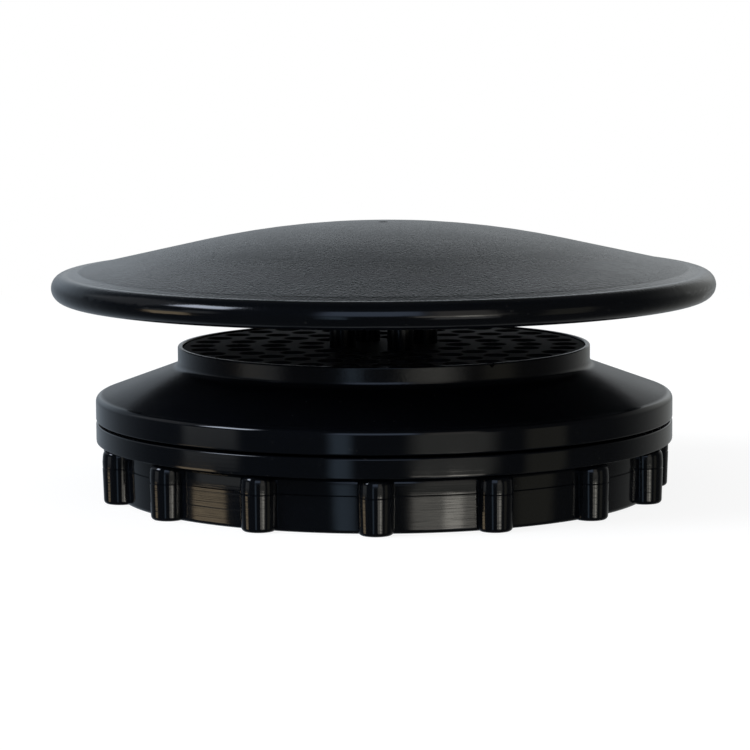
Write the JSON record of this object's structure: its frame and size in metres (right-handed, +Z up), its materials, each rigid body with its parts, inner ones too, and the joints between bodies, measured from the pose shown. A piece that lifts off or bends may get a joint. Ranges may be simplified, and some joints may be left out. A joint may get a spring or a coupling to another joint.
{
  "type": "boat cover vent",
  "caption": "Domed mushroom ventilator for a fabric boat cover, with a perforated grille under the cap and a ribbed ring nut that clamps the cloth.",
  "frame": {"origin": "on the vent's axis, in the plane that the ring nut stands on", "axes": "+Z up along the vent's axis towards the cap, -Y towards the front of the picture, +X to its right"},
  "size_m": [0.165, 0.165, 0.0674],
  "materials": {
    "cap_plastic": "fine eggshell texture on the dome, glossy bead",
    "grille_plastic": "satin",
    "body_plastic": "satin gloss",
    "ring_plastic": "satin gloss",
    "nut_plastic": "gloss with faint turning lines",
    "screw_steel": "stainless"
  },
  "bodies": {
    "body": {"vent_body": "body_plastic", "grille": "grille_plastic", "cap": "cap_plastic", "cap_screws": "screw_steel"},
    "clamp": {"clamp_ring": "ring_plastic"},
    "nut": {"ring_nut": "nut_plastic"}
  },
  "joints": [
    {"name": "clamp_drop", "type": "slide", "parent": "body", "child": "clamp", "axis": [0, 0, -1], "range_m": [0, 0.012]},
    {"name": "nut_turn", "type": "hinge", "parent": "clamp", "child": "nut", "pos_m": [0, 0, 0.007], "axis": [0, 0, -1], "range_deg": [0, 1080]}
  ],
  "couplings": [
    {"joint": "clamp_drop", "follows": "nut_turn", "m_per_rad": 0.00063661}
  ]
}
